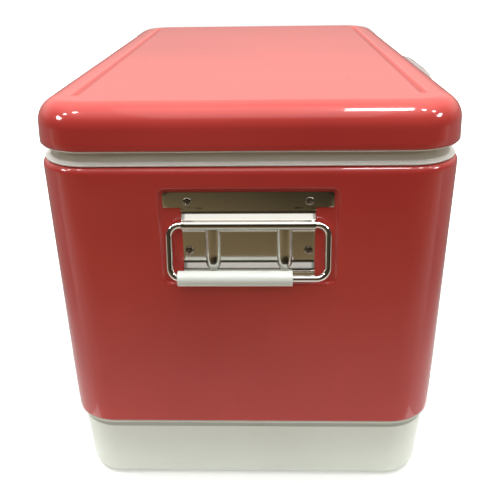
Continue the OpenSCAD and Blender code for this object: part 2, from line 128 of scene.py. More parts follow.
class Sock:
    """An output socket whose operators add Math nodes."""

    def __init__(self, nodes, socket):
        self.nodes = nodes
        self.socket = socket

    def math(self, operation, *others):
        values = {f"i{n}": value for n, value in enumerate((self, *others))}
        return self.nodes.add("ShaderNodeMath", {"operation": operation}, **values)

    def __add__(self, other):
        return self.math("ADD", other)

    __radd__ = __add__

    def __mul__(self, other):
        return self.math("MULTIPLY", other)

    __rmul__ = __mul__

    def __sub__(self, other):
        return self.math("SUBTRACT", other)

    def __rsub__(self, other):
        return (self * -1) + other

    def out(self, name):
        return Sock(self.nodes, self.socket.node.outputs[name])

    def ramp(self, low, high):
        """0 below low, 1 above high, smooth between."""
        return self.nodes.add("ShaderNodeMapRange", {"interpolation_type": "SMOOTHSTEP"},
                              Value=self, From_Min=low, From_Max=high)


def mixed(nodes, factor, a, b):
    """Colour between a and b."""
    return nodes.add("ShaderNodeMix", {"data_type": "RGBA"}, out=2, i0=factor, i6=a, i7=b)


def rgba(*colour):
    return (*colour, 1.0)


# The room that paint and metal reflect: dim behind the viewer, brighter beyond the chest and
# overhead. The camera itself sees plain white.
world = bpy.data.worlds.new("room")
world.use_nodes = True
world.node_tree.nodes.clear()
room = Nodes(world.node_tree)
way = room.add("ShaderNodeSeparateXYZ", i0=room.add("ShaderNodeTexCoord").out("Generated"))
ahead = way.out("X").ramp(-0.2, 0.5)
rise = way.out("Z").ramp(0.02, 0.32)
overhead = way.out("Z").ramp(0.52, 0.92)
far_wall = mixed(room, rise, rgba(0.28, 0.275, 0.26), rgba(0.86, 0.84, 0.79))
near_wall = rgba(0.050, 0.040, 0.025)
walls = mixed(room, ahead, near_wall, far_wall)
lit = room.add("ShaderNodeBackground", Strength=1.0,
               Color=mixed(room, overhead, walls, rgba(1.30, 1.26, 1.22)))
seen = room.add("ShaderNodeBackground", Color=rgba(1, 1, 1), Strength=1.0)
camera_ray = room.add("ShaderNodeLightPath").out("Is Camera Ray")
shown = room.add("ShaderNodeMixShader", i0=camera_ray, i1=lit, i2=seen)
room.add("ShaderNodeOutputWorld", Surface=shown)
bpy.context.scene.world = world
bpy.context.scene.view_settings.view_transform = "Standard"


def material(name):
    """A new material and its node adder."""
    made = bpy.data.materials.new(name)
    made.use_nodes = True
    made.node_tree.nodes.clear()
    return made, Nodes(made.node_tree)


def finish(nodes, **inputs):
    shader = nodes.add("ShaderNodeBsdfPrincipled", **inputs)
    nodes.add("ShaderNodeOutputMaterial", Surface=shader)


def bump(nodes, height, distance, strength=1.0):
    return nodes.add("ShaderNodeBump", Height=height, Distance=distance, Strength=strength)


def place(nodes, scale=(1, 1, 1)):
    """Object coordinates stretched by scale."""
    return nodes.add("ShaderNodeMapping", Vector=nodes.add("ShaderNodeTexCoord").out("Object"),
                     Scale=scale)


def axes(nodes):
    """Object coordinates split in three: the X output, whose out gives Y and Z."""
    return nodes.add("ShaderNodeSeparateXYZ", i0=nodes.add("ShaderNodeTexCoord").out("Object"))


def noise(nodes, where, scale, detail=3.0, roughness=0.5):
    return nodes.add("ShaderNodeTexNoise", Vector=where, Scale=scale, Detail=detail,
                     Roughness=roughness)


def laid_sheet(name, finish_material, rectangles, height=0.0):
    """Flat rectangles (x0, y0, x1, y1) at one height, which belong to the room."""
    points = []
    for x0, y0, x1, y1 in rectangles:
        points += [(x0, y0, height), (x1, y0, height), (x1, y1, height), (x0, y1, height)]
    faces = [tuple(range(first, first + 4)) for first in range(0, len(points), 4)]
    mesh = bpy.data.meshes.new(name)
    mesh.from_pydata(points, [], faces)
    mesh.materials.append(finish_material)
    sheet = new_object(name, mesh)
    return sheet


floor_near = -2.4
floor_far = 3.4
floor_side = 2.4
floor_material, n = material("floor_paper")
grain = noise(n, place(n), 60, 4)
away = n.add("ShaderNodeVectorMath", {"operation": "LENGTH"}, i0=place(n)).out("Value")
swept = away.ramp(0.9, 2.0) * n.add("ShaderNodeLightPath").out("Is Camera Ray")
finish(n, Base_Color=mixed(n, grain, rgba(0.91, 0.91, 0.905), rgba(0.94, 0.94, 0.935)),
       Roughness=0.9, Specular_IOR_Level=0.2, Emission_Strength=1.0,
       Emission_Color=mixed(n, swept, rgba(0.16, 0.16, 0.16), rgba(1, 1, 1)))
laid_sheet("floor", floor_material, [(floor_near, -floor_side, floor_far, floor_side)])

# Sheets just over the floor that the camera doesn't see, for the steel and paint to reflect. The
# brown one lies in front of the left end, and the grey ones along the long sides.
flag_height = 0.003
flag_edge = -0.34
flag_side = 0.26
brown, n = material("brown_flag")
across = axes(n)
tone = mixed(n, across.ramp(-1.25, -0.72), rgba(0.034, 0.027, 0.015), rgba(0.33, 0.245, 0.130))
tone = mixed(n, across.ramp(-0.76, flag_edge), tone, rgba(0.80, 0.74, 0.68))
near = across.ramp(-1.05, -0.85)
bright = near + (1 - near) * (across.out("Y").ramp(-0.24, 0.26) * 1.6 + 0.4)
weave = noise(n, place(n, (2, 14, 1)), 4, 3)
tone = n.add("ShaderNodeVectorMath", {"operation": "SCALE"}, i0=tone, Scale=bright)
glow = n.add("ShaderNodeEmission", Color=mixed(n, weave * 0.25, tone, rgba(0.02, 0.015, 0.01)))
n.add("ShaderNodeOutputMaterial", Surface=glow)
brown_flag = laid_sheet("brown_flag", brown, [(floor_near, -floor_side, flag_edge, floor_side)],
                        flag_height)
brown_flag.visible_camera = False
brown_flag.visible_shadow = False

grey, n = material("grey_flags")
weave = noise(n, place(n, (2, 14, 1)), 4, 3)
aside = axes(n).out("Y").math("ABSOLUTE")
tone = mixed(n, aside.ramp(0.24, 0.62), rgba(0.85, 0.84, 0.82), rgba(0.30, 0.28, 0.26))
glow = n.add("ShaderNodeEmission", Color=mixed(n, weave * 0.2, tone, rgba(0.20, 0.18, 0.16)))
n.add("ShaderNodeOutputMaterial", Surface=glow)
grey_flags = laid_sheet("grey_flags", grey, [(flag_edge, -floor_side, floor_far, -flag_side),
                                             (flag_edge, flag_side, floor_far, floor_side)], flag_height)
grey_flags.visible_camera = False
grey_flags.visible_diffuse = False
grey_flags.visible_shadow = False

# ---------------------------------------------------------------- lid skin
# Steel sheet pressed to shape, with a wide radius round the top and two long shallow grooves,
# baked in red enamel. The foam and the white pan sit inside it.
lid_low, lid_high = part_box("lid_skin")
lid_half = (lid_high.x / MM, lid_high.y / MM)
lid_foot = lid_low.z / MM
lid_top = lid_high.z / MM
lid_corner = 51
lid_radius = 22
lid_draft = 0.7
lid_sheet = 1.0
groove_y = lid_half[1] - 36
groove_end = 242
groove_reach = 5.5
groove_depth = 1.3

red_enamel, n = material("red_enamel")
where = place(n)
cloud = noise(n, where, 5, 3)
peel = noise(n, where, 420, 2, 0.4)
fine = noise(n, where, 1500, 2)
scratch = n.add("ShaderNodeTexVoronoi", {"feature": "DISTANCE_TO_EDGE"}, out=0,
                Vector=n.add("ShaderNodeMapping", Vector=where, Rotation=(0.2, 0.4, 0.7),
                             Scale=(3, 34, 20)), Scale=5, Randomness=1)
scratches = (1 - scratch.ramp(0.0, 0.012)) * noise(n, where, 9, 2).ramp(0.56, 0.7)
colour = mixed(n, cloud.ramp(0.3, 0.7), rgba(0.55, 0.049, 0.042), rgba(0.61, 0.060, 0.050))
colour = mixed(n, scratches * 0.10, colour, rgba(0.78, 0.34, 0.30))
# Painted shade: the floors of the two pressed grooves are darkened and given less coat, so they read as
# shaded creases.
spot = axes(n)
sunk = 1 - spot.out("Z").ramp((lid_top - 1.2) * MM, (lid_top - 0.2) * MM)
inside_x = 1 - spot.math("ABSOLUTE").ramp((groove_end + 8) * MM, (groove_end + 13) * MM)
inside_y = 1 - spot.out("Y").math("ABSOLUTE").ramp((groove_y + 6) * MM, (groove_y + 10) * MM)
groove_shade = sunk * inside_x * inside_y * spot.out("Z").ramp((lid_top - 10) * MM, (lid_top - 8) * MM)
colour = mixed(n, groove_shade * 0.6, colour, rgba(0.30, 0.028, 0.022))
finish(n, Base_Color=colour, Roughness=cloud * 0.08 + fine * 0.05 + scratches * 0.2 + 0.25,
       IOR=1.5, Specular_IOR_Level=0.1, Coat_Weight=1 - groove_shade * 0.6, Coat_Roughness=0.04, Coat_IOR=1.5,
       Normal=bump(n, peel * 0.5 + cloud * 0.4, 0.00010, 0.55))
corner_steps = 14


def ring(half_x, half_y, radius, z, run_x, run_y):
    """Rounded rectangle at height z, anticlockwise; run_x and run_y place the points of its sides."""
    flat_x = half_x - radius
    flat_y = half_y - radius
    run_x = np.asarray(run_x) * flat_x
    run_y = np.asarray(run_y) * flat_y
    turn = np.linspace(0, math.pi / 2, corner_steps + 1)
    parts = []
    for quarter, (sx, sy) in enumerate(((1, 1), (-1, 1), (-1, -1), (1, -1))):
        angle = turn + quarter * math.pi / 2
        parts.append(np.c_[sx * flat_x + radius * np.cos(angle), sy * flat_y + radius * np.sin(angle)])
        if quarter == 0:
            parts.append(np.c_[run_x[::-1], np.full(len(run_x), half_y)])
        elif quarter == 1:
            parts.append(np.c_[np.full(len(run_y), -half_x), run_y[::-1]])
        elif quarter == 2:
            parts.append(np.c_[run_x, np.full(len(run_x), -half_y)])
        else:
            parts.append(np.c_[np.full(len(run_y), half_x), run_y])
    flat = np.vstack(parts)
    return np.c_[flat, np.full(len(flat), z)]


def loft(name, rings, finish_material, loop=False, shape=None, sharp=35):
    """Skins rings into one closed mesh, capped at both ends or joined into a loop."""
    count = len(rings[0])
    points = np.vstack(rings)
    if shape is not None:
        points = shape(points)
    last = len(rings) if loop else len(rings) - 1
    faces = []
    for i in range(last):
        low = i * count
        high = (i + 1) % len(rings) * count
        for j in range(count):
            k = (j + 1) % count
            faces.append((low + j, low + k, high + k, high + j))
    if not loop:
        faces.append(tuple(range(count))[::-1])
        faces.append(tuple(range((len(rings) - 1) * count, len(rings) * count)))
    return solid(name, points, faces, finish_material, sharp)


def solid(name, points, faces, finish_material, sharp=35):
    """Mesh object in millimetre points, smooth but for edges sharper than an angle."""
    mesh = bpy.data.meshes.new(name)
    mesh.from_pydata((np.asarray(points) * MM).tolist(), [], faces)
    mesh.validate()
    mesh.shade_smooth()
    mesh.set_sharp_from_angle(angle=math.radians(sharp))
    mesh.materials.append(finish_material)
    return new_object(name, mesh)


def even(count, dense=(), step=0.004):
    """Fractions of a side strictly inside its ends, with finer steps in the dense stretches."""
    values = set(np.round(np.linspace(-1, 1, count + 2)[1:-1], 4))
    for low, high in dense:
        values |= set(np.round(np.arange(low, high, step), 4))
    return sorted(v for v in values if -0.9999 < v < 0.9999)


def inset_ring(half_x, half_y, radius, inset, z, run_x, run_y):
    return ring(half_x - inset, half_y - inset, max(radius - inset, 0.6), z, run_x, run_y)


def arc_steps(count, start=0.0, stop=90.0):
    """Even angles from start to stop, given in degrees and returned in radians."""
    return [math.radians(a) for a in np.linspace(start, stop, count)]


side_x = even(90, [(0.93, 0.999), (-0.999, -0.93)], 0.01)
side_y = even(60)


def lid_ring(inset, z):
    return inset_ring(*lid_half, lid_corner, inset, z, side_x, side_y)


def pressed_grooves(points):
    """Sinks two rounded channels into the lid's top."""
    along = np.maximum(np.abs(points[:, 0]) - groove_end, 0)
    across = np.abs(np.abs(points[:, 1]) - groove_y)
    away = np.minimum(np.hypot(along, across) / groove_reach, 1)
    on_top = points[:, 2] > lid_top - 1
    points[:, 2] -= np.where(on_top, groove_depth * (0.5 + 0.5 * np.cos(np.pi * away)), 0)
    return points


# From the middle of the underside, down inside the skirt, round its hem and up over the top.
lid_rings = [lid_ring(1.4 + lid_radius, lid_top - lid_sheet - 1.2)]
lid_rings += [lid_ring(1.4 + (lid_radius - 2) * (1 - math.cos(a)),
                       lid_top - lid_radius + (lid_radius - 2.2) * math.sin(a))
              for a in arc_steps(6)[::-1]]
lid_rings += [lid_ring(1.2, lid_foot + 6), lid_ring(1.2, lid_foot + 0.5), lid_ring(0.9, lid_foot + 0.1),
              lid_ring(0.5, lid_foot), lid_ring(0.15, lid_foot + 0.12), lid_ring(0.0, lid_foot + 0.5)]
lid_rings += [lid_ring(lid_draft * t, lid_foot + 0.5 + (lid_top - lid_radius - lid_foot - 0.5) * t)
              for t in (0.33, 0.66)]
lid_rings += [lid_ring(lid_draft + lid_radius * (1 - math.cos(a)),
                       lid_top - lid_radius + lid_radius * math.sin(a)) for a in arc_steps(17)]
lid_rings += [lid_ring(inset, lid_top) for inset in
              [25, 28.5, *np.arange(30.5, 42, 0.65), 44, 50, 60, 80, 110, 140, 165, 180, 187]]
lid_shell = loft("lid_shell", lid_rings, red_enamel, shape=pressed_grooves)
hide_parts("lid_skin")
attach(lid_shell, "lid")

# ---------------------------------------------------------------- steel belt
# One sheet wrapped round the body, rolled in at the top over the rim's seat, with a shallow
# pocket pressed in each end for the handle. It has the lid's red enamel.
belt_low, belt_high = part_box("steel_belt")
belt_half = (belt_high.x / MM, belt_high.y / MM)
belt_foot = belt_low.z / MM
belt_top = belt_high.z / MM
belt_corner = lid_corner - (lid_half[0] - belt_half[0])
belt_taper = 3.0
belt_roll = 6.0
pocket_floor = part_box("handle_bracket_right")[0].x / MM
pocket_half = (80, 47.3)
pocket_z = 288.3
pocket_corner = 8
pocket_edge = pocket_half[0] / (belt_half[1] - belt_corner)
belt_x = even(80)
belt_y = even(50, [(pocket_edge - 0.065, pocket_edge + 0.03), (-pocket_edge - 0.03, 0.065 - pocket_edge)],
              0.005)


def belt_inset(z):
    return belt_taper * (belt_top - z) / (belt_top - belt_foot)


def belt_ring(inset, z):
    return inset_ring(*belt_half, belt_corner, inset, z, belt_x, belt_y)


def pressed_pockets(points):
    """Draws the ends in to a flat floor inside a rounded rectangle, with soft formed edges."""
    qy = np.abs(points[:, 1]) - (pocket_half[0] - pocket_corner)
    qz = np.abs(points[:, 2] - pocket_z) - (pocket_half[1] - pocket_corner)
    outside = np.hypot(np.maximum(qy, 0), np.maximum(qz, 0)) - pocket_corner
    reach = outside + np.minimum(np.maximum(qy, qz), 0)
    t = np.clip((1.2 - reach) / 3.6, 0, 1)
    drawn = t * t * (3 - 2 * t)
    face = np.abs(points[:, 0])
    on_end = np.where(face > pocket_floor - 3, 1, 0)
    behind = np.where(face > belt_half[0] - 0.8 - belt_inset(points[:, 2]), 0, 1.0)
    points[:, 0] = np.sign(points[:, 0]) * (face + on_end * drawn * (pocket_floor - behind - face))
    return points


belt_levels = [belt_foot + 1, 100, 130, 160, 190, 215, 231, 237, *np.arange(238.5, 247, 0.6), 252, 262,
               275, 290, 305, 318, 328, *np.arange(330, 339, 0.6), 342, 346, belt_top - belt_roll]
# Up the outside, over the roll and down the inside.
belt_rings = [belt_ring(belt_taper + 0.25, belt_foot), belt_ring(belt_taper, belt_foot + 0.3)]
belt_rings += [belt_ring(belt_inset(z), z) for z in belt_levels]
belt_rings += [belt_ring(belt_roll * (1 - math.cos(a)) + 0.07,
                         belt_top - belt_roll + belt_roll * math.sin(a)) for a in arc_steps(11)[1:]]
belt_rings += [belt_ring(8, belt_top), belt_ring(8.3, belt_top - 0.5), belt_ring(8, belt_top - 1)]
belt_rings += [belt_ring(belt_roll * (1 - math.cos(a)) + 1,
                         belt_top - belt_roll + (belt_roll - 1) * math.sin(a)) for a in arc_steps(5, 80, 0)]
belt_rings += [belt_ring(belt_inset(z) + 1, z) for z in belt_levels[::-1][1:]]
belt_rings += [belt_ring(belt_taper + 1, belt_foot + 0.3), belt_ring(belt_taper + 0.75, belt_foot)]
belt_shell = loft("belt_shell", belt_rings, red_enamel, loop=True, shape=pressed_pockets, sharp=50)
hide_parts("steel_belt")
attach(belt_shell, "chest")

# ---------------------------------------------------------------- base tray
# White moulded tray that the body stands in. A bead round its top carries the belt's edge and
# the belt is sprung over the tongue above it.
white_plastic, n = material("white_moulding")
where = place(n)
cloud = noise(n, where, 7, 4)
grain = noise(n, where, 900, 3, 0.6)
height = axes(n).out("Z")
scuffs = noise(n, place(n, (1, 1, 6)), 60, 5, 0.7).ramp(0.62, 0.72) * (1 - height.ramp(0.0, 0.05))
colour = mixed(n, cloud.ramp(0.35, 0.7), rgba(0.70, 0.745, 0.665), rgba(0.74, 0.785, 0.71))
# Painted shade: a dark band on the tray's wall just under the bead, where the belt's edge shades it.
under_bead = [(belt_foot - down) * MM for down in (12.2, 11.0, 7.0, 6.0)]
grime_and_shade = height.ramp(*under_bead[:2]) * (1 - height.ramp(*under_bead[2:]))
colour = mixed(n, grime_and_shade * 0.5, colour, rgba(0.36, 0.37, 0.30))
colour = mixed(n, scuffs * 0.35, colour, rgba(0.50, 0.48, 0.43))
finish(n, Base_Color=colour, Roughness=cloud * 0.1 + grain * 0.08 + scuffs * 0.2 + 0.30,
       IOR=1.49, Normal=bump(n, grain * 0.6 + cloud * 0.4, 0.00015, 0.5))

tray_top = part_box("base_tray")[1].z / MM
tray_wall = belt_taper + 5.0
tray_taper = 4.7
tray_radius = 10.0
bead_low = belt_foot - 3.7
bead_radius = 1.7
tray_x = even(60)
tray_y = even(40)


def tray_ring(inset, z):
    return inset_ring(*belt_half, belt_corner, inset, z, tray_x, tray_y)


def tray_inset(z):
    return tray_wall + tray_taper * (bead_low - z) / bead_low


# Out under the floor, up the wall, round the bead, up the tongue and back down inside.
tray_rings = [tray_ring(60, 0), tray_ring(30, 0)]
tray_rings += [tray_ring(tray_inset(z) + tray_radius * (1 - math.cos(a)), z)
               for z, a in ((tray_radius * (1 - math.sin(a)), a) for a in arc_steps(11, 90, 0))]
tray_rings += [tray_ring(tray_inset(z), z) for z in (24, 36, 50, bead_low - 9.0)]
tray_rings += [tray_ring(tray_wall + i, bead_low + z) for i, z in
               ((0.2, -8.2), (0.9, -7.0), (1.3, -4.5), (1.2, -0.7), (0.2, -0.1), (-1.5, 0.05))]
tray_rings += [tray_ring(belt_taper + 0.4 + bead_radius * (1 - math.cos(a)),
                         bead_low + 0.05 + bead_radius * (1 + math.sin(a))) for a in arc_steps(7, -80, 80)]
tray_rings += [tray_ring(belt_taper + 1.5, bead_low + 3.55), tray_ring(belt_taper + 1.5, belt_foot + 13),
               tray_ring(belt_taper + 2, tray_top), tray_ring(belt_taper + 4.2, tray_top),
               tray_ring(belt_taper + 4.4, belt_foot), tray_ring(tray_wall + 3, bead_low - 4),
               tray_ring(tray_wall + tray_taper + 3, 12), tray_ring(tray_wall + tray_taper + 8, 3.2),
               tray_ring(40, 3)]
tray_shell = loft("tray_shell", tray_rings, white_plastic, sharp=40)
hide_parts("base_tray")
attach(tray_shell, "chest")

# ---------------------------------------------------------------- tub and rim
# White one-piece liner: a deep tub with round corners whose raised rim takes the lid's gasket
# and whose lip covers the rolled edge of the belt.
liner_plastic, n = material("liner_plastic")
where = place(n)
cloud = noise(n, where, 8, 3)
grain = noise(n, where, 700, 3, 0.6)
spot = axes(n)
# Painted shade: the rim's outer wall, between the lip and the rim's top, is darkened to a brownish grey
# where the lid's overhang shades it.
beyond_x = spot.math("ABSOLUTE").ramp(0.262, 0.266)
beyond_y = spot.out("Y").math("ABSOLUTE").ramp(0.165, 0.169)
above_lip = spot.out("Z").ramp(0.3576, 0.3590)
below_rim = 1 - spot.out("Z").ramp(0.3674, 0.3684)
rim_wall_shade = beyond_x.math("MAXIMUM", beyond_y) * above_lip * below_rim
colour = mixed(n, cloud.ramp(0.3, 0.7), rgba(0.90, 0.89, 0.85), rgba(0.93, 0.92, 0.89))
colour = mixed(n, rim_wall_shade * (0.75 + cloud * 0.3), colour, rgba(0.60, 0.55, 0.45))
finish(n, Base_Color=colour, Roughness=cloud * 0.08 + grain * 0.06 + 0.24,
       IOR=1.49, Normal=bump(n, grain, 0.00008, 0.5))

liner_low, liner_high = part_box("inner_liner")
rim_top = liner_high.z / MM
lip_foot = belt_top + 0.4
tub_half = (belt_half[0] - 38, belt_half[1] - 38)
tub_floor = liner_low.z / MM + 2.5
tub_taper = 6.0
tub_corner = 26
liner_x = even(60)
liner_y = even(40)


def rim_ring(inset, z):
    return inset_ring(*belt_half, belt_corner, inset, z, liner_x, liner_y)


def tub_ring(grow, z):
    down = (rim_top - z) / (rim_top - tub_floor) * tub_taper
    return ring(tub_half[0] + grow - down, tub_half[1] + grow - down, tub_corner + grow, z,
                liner_x, liner_y)


# Under the tub, up its outside, round the lip and the rim, across the gasket's seat and down inside.
gasket_floor = rim_top - 2.0
liner_rings = [tub_ring(-12, tub_floor - 2.5), tub_ring(-2, tub_floor - 2.4), tub_ring(2.2, tub_floor + 1),
               tub_ring(2.5, tub_floor + 8), tub_ring(2.5, 200), tub_ring(2.5, rim_top - 4)]
liner_rings += [rim_ring(11, rim_top - 3.6), rim_ring(10.6, lip_foot + 2), rim_ring(10.2, lip_foot + 0.1),
                rim_ring(3.4, lip_foot)]
liner_rings += [rim_ring(2.6 + 0.9 * (1 - math.cos(a)), lip_foot + 1 + 0.95 * math.sin(a))
                for a in arc_steps(7, -80, 80)]
liner_rings += [rim_ring(i, lip_foot + z) for i, z in
                ((5.6, 2.05), (7.0, 2.2), (7.7, 2.8), (8.0, 4.0), (8.2, 8), (8.4, rim_top - lip_foot - 1.6))]
liner_rings += [rim_ring(8.4 + 1.6 * (1 - math.cos(a)), rim_top - 1.6 + 1.6 * math.sin(a))
                for a in arc_steps(6)[1:]]
liner_rings += [rim_ring(14.4, rim_top), rim_ring(14.6, rim_top - 0.3), rim_ring(14.7, gasket_floor),
                rim_ring(23.3, gasket_floor), rim_ring(23.4, rim_top - 0.3), rim_ring(23.8, rim_top),
                rim_ring(33, rim_top)]
liner_rings += [tub_ring(3.0 * (1 - math.sin(a)), rim_top - 3.0 + 3.0 * math.cos(a))
                for a in arc_steps(6, 8, 90)]
liner_rings += [tub_ring(0, z) for z in (355, 320, 270, 220, 170, 120, 80, tub_floor + 14)]
liner_rings += [tub_ring(-14 * (1 - math.cos(a)), tub_floor + 14 - 14 * math.sin(a))
                for a in arc_steps(8)[1:]]
liner_rings += [tub_ring(-20, tub_floor)]
tub_shell = loft("tub_shell", liner_rings, liner_plastic, sharp=45)
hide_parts("inner_liner")
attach(tub_shell, "chest")

# ---------------------------------------------------------------- lid pan and gasket
# White moulded pan that closes the lid from below: a flange that shows as a thin line under the
# painted skirt, and a plug that drops into the tub, stiffened by a raised panel.
pan_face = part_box("lid_liner")[0].z / MM
flange_foot = lid_foot - 1.8
plug_inset = 42.5


def pan_ring(inset, z):
    return inset_ring(*lid_half, lid_corner, inset, z, liner_x, liner_y)


def plug_ring(inset, z):
    return ring(lid_half[0] - plug_inset - inset, lid_half[1] - plug_inset - inset,
                max(22 - inset, 4), z, liner_x, liner_y)


pan_rings = [plug_ring(40, pan_face + 2), plug_ring(32, pan_face + 2), plug_ring(26, pan_face + 0.3),
             plug_ring(24.5, pan_face), plug_ring(6, pan_face), plug_ring(3, pan_face + 0.5),
             plug_ring(1, pan_face + 2), plug_ring(0.2, pan_face + 5), plug_ring(0, flange_foot - 2),
             plug_ring(-0.6, flange_foot - 0.5), plug_ring(-2, flange_foot), pan_ring(24, flange_foot),
             pan_ring(2.2, flange_foot)]
pan_rings += [pan_ring(1.2 + 0.75 * (1 - math.cos(a)), flange_foot + 0.75 + 0.75 * math.sin(a))
              for a in arc_steps(7, -80, 80)]
pan_rings += [pan_ring(30, flange_foot + 1.5), pan_ring(60, flange_foot + 1.5)]
lid_pan = loft("lid_pan", pan_rings, liner_plastic, sharp=45)
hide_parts("lid_liner")
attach(lid_pan, "lid")

seal_rubber, n = material("seal_rubber")
mottle = noise(n, place(n), 40, 4)
finish(n, Base_Color=mixed(n, mottle, rgba(0.40, 0.39, 0.37), rgba(0.50, 0.49, 0.46)),
       Roughness=mottle * 0.15 + 0.6, Normal=bump(n, mottle, 0.0001, 0.4))

foam_material, n = material("foam")
cells = noise(n, place(n), 300, 4)
finish(n, Base_Color=mixed(n, cells, rgba(0.72, 0.64, 0.40), rgba(0.82, 0.75, 0.52)),
       Roughness=cells * 0.1 + 0.8, Normal=bump(n, cells, 0.0005, 0.6))

# ---------------------------------------------------------------- stamped stainless
# Bright rolled sheet: fine straight grain along its length, a little haze, and softly broken
# edges. It shows the room more than its own colour.
stainless, n = material("stainless")
where = place(n)
lines = noise(n, place(n, (90, 3, 420)), 6, 4, 0.7)
haze = noise(n, where, 30, 4)
marks = noise(n, place(n, (40, 8, 60)), 5, 5, 0.7).ramp(0.60, 0.70)
finish(n, Base_Color=mixed(n, haze, rgba(0.54, 0.525, 0.485), rgba(0.59, 0.58, 0.54)), Metallic=1.0,
       Roughness=lines * 0.10 + haze * 0.06 + marks * 0.06 + 0.07,
       Normal=bump(n, lines * 0.5 + haze * 0.5, 0.00003, 0.4))
stamped_sheet = 1.2


def path_points(path, step):
    """A polyline in (out, up) resampled to even short steps."""
    path = np.asarray(path, float)
    length = np.r_[0, np.cumsum(np.hypot(*np.diff(path, axis=0).T))]
    count = int(length[-1] / step) + 1
    at = np.linspace(0, length[-1], count)
    return np.c_[np.interp(at, length, path[:, 0]), np.interp(at, length, path[:, 1])]


def arc_path(centre, radius, start, stop, count=24):
    return [(centre[0] + radius * math.cos(math.radians(a)), centre[1] + radius * math.sin(math.radians(a)))
            for a in np.linspace(start, stop, count)]


def rounded_path(corners, radius, count=7):
    """Straight legs joined by arcs of one radius."""
    corners = [Vector(c) for c in corners]
    path = [tuple(corners[0])]
    for before, at, after in zip(corners, corners[1:], corners[2:]):
        a = (before - at).normalized()
        b = (after - at).normalized()
        half = a.angle(b) / 2
        back = min(radius / math.tan(half), (before - at).length * 0.49, (after - at).length * 0.49)
        start, stop = at + a * back, at + b * back
        for t in np.linspace(0, 1, count):
            path.append(tuple((1 - t) ** 2 * start + 2 * t * (1 - t) * at + t * t * stop))
    path.append(tuple(corners[-1]))
    return path


def stamping(name, rows, columns, face, relief, turn):
    """Pressed sheet from rows of (out, up, half width), standing on the plane x = face."""
    grid = [(face + out + relief(c * half, up, out), c * half, up)
            for out, up, half in rows for c in columns]
    wide = len(columns)
    starts = [i * wide + j for i in range(len(rows) - 1) for j in range(wide - 1)]
    faces = [(a, a + wide, a + wide + 1, a + 1) for a in starts]
    obj = solid(name, grid, faces, stainless, sharp=50)
    obj.data.transform(Matrix.Rotation(turn, 4, "Z"))
    thick = obj.modifiers.new("thickness", "SOLIDIFY")
    thick.thickness = stamped_sheet * MM
    thick.offset = 0
    rim = obj.modifiers.new("edges", "BEVEL")
    rim.width = 0.3 * MM
    rim.segments = 2
    rim.angle_limit = math.radians(60)
    return obj


# ---------------------------------------------------------------- handle brackets
# One stamping each: a wide flange, a barrel rolled over the bail's top rod, and a plate with two
# raised ribs and a foot stepped out at the bottom. Four screws hold it in the pocket.
flange_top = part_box("handle_bracket_right")[1].z / MM
flange_foot_z = flange_top - 14.6
bail_z = flange_top - 29.4
bail_out = 6.0
half_sheet = stamped_sheet / 2
flange_half = 76.0
plate_half = 59.5
shelf_z = flange_top - 67.7
foot_z = flange_top - 81.6
foot_out = 4.8
rib_centre = 32.5
rib_half = 6.6
rib_rise = 3.4

bracket_path = rounded_path([(half_sheet, flange_foot_z - 2.6), (half_sheet, bail_z + 9.6),
                             (bail_out - 1.2, bail_z + 3.9)], 5.0)
bracket_path += arc_path((bail_out, bail_z), 3.66, 100, -100)
bracket_path += rounded_path([(bail_out - 1.4, bail_z - 3.75), (half_sheet, bail_z - 7.4),
                              (half_sheet, shelf_z), (half_sheet + foot_out, shelf_z - 6.8),
                              (half_sheet + foot_out, foot_z)], 4.0)
bracket_rows = [(half_sheet, flange_top - 3 + 3 * math.sin(a), flange_half - 3 + 3 * math.cos(a))
                for a in arc_steps(6, 90, 0)]
bracket_rows += [(half_sheet, flange_foot_z + 1.5 - 1.5 * math.sin(a), flange_half - 1.5 + 1.5 * math.cos(a))
                 for a in arc_steps(4)]
bracket_rows += [(half_sheet, flange_foot_z - 0.02 - 2.5 * math.sin(a), plate_half + 2.5 * (1 - math.cos(a)))
                 for a in arc_steps(5)[:-1]]
bracket_rows += [(out, z, plate_half) for out, z in path_points(bracket_path, 0.7)]


def bracket_relief(y, z, out):
    """Raised half-round ribs that die out in the barrel above and grow into the foot below."""
    across = abs(abs(y) - rib_centre) / rib_half
    if across >= 1 or z > bail_z - 4.2 or z < foot_z:
        return 0.0
    crown = (1 - across ** 2.4) ** 0.8
    spread = min(max((shelf_z + 8 - z) / 14, 0.0), 1.0)
    rise = rib_rise + (foot_out - rib_rise) * spread * spread * (3 - 2 * spread)
    return max(half_sheet + rise * crown - out, 0.0)


rib_columns = np.arange(rib_centre - rib_half - 1.5, rib_centre + rib_half + 2, 0.55) / plate_half
plain_columns = np.linspace(0, 1, 17)
right_columns = sorted(set(np.round(np.r_[rib_columns, plain_columns], 4)))
bracket_columns = [-c for c in right_columns[::-1] if c > 0] + right_columns
for side, turn in (("left", math.pi), ("right", 0.0)):
    stamped = stamping(f"handle_plate_{side}", bracket_rows, bracket_columns, pocket_floor,
                       bracket_relief, turn)
    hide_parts(f"handle_bracket_{side}")
    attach(stamped, "chest")

# ---------------------------------------------------------------- bails
# Six-millimetre bright wire bent into a loop with round corners. Its top rod turns in the
# bracket's barrel, and it hangs leaning out so that a hand gets behind the grip.
bail_width = 142
bail_length = 49.6
bail_bend = 10
bail_wire = 3
bail_lean = math.asin(9 / bail_length)

bright_wire, n = material("bright_wire")
where = place(n)
smear = noise(n, where, 90, 3)
pits = noise(n, where, 1400, 2).ramp(0.68, 0.75)
finish(n, Base_Color=mixed(n, smear, rgba(0.80, 0.79, 0.77), rgba(0.86, 0.86, 0.85)), Metallic=1.0,
       Roughness=smear * 0.06 + pits * 0.2 + 0.05, Normal=bump(n, smear - pits, 0.00002, 0.5))


